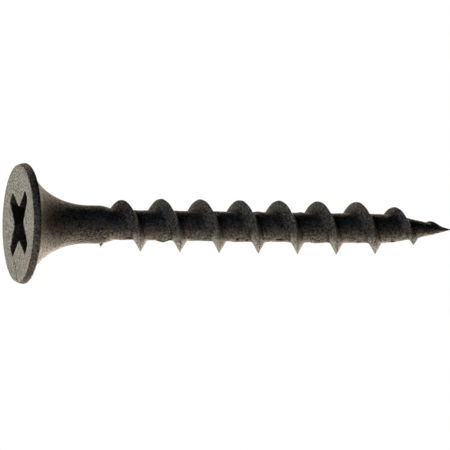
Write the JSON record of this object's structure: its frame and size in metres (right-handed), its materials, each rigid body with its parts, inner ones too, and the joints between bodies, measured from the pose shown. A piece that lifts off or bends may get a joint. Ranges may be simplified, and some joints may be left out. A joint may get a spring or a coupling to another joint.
{
  "type": "wood screw",
  "caption": "Wood screw with a flared bugle head, cross recess, coarse right-hand thread and sharp tapered point, in dark phosphate-coated steel.",
  "frame": {"origin": "centre of the flat head face, which lies flush with the face of the board when the screw is driven; the point is at z = -31.2 mm", "axes": "+Z along the screw's axis, out of the head towards the driver; the thread's crest leaves the shank 165 degrees round from +X; +X and +Y are otherwise free"},
  "size_m": [0.0082, 0.0082, 0.0312],
  "materials": {
    "phosphate_steel": "matt dark grey crystalline phosphate coat on hardened steel"
  },
  "bodies": {
    "root": {"screw": "phosphate_steel"}
  },
  "joints": []
}
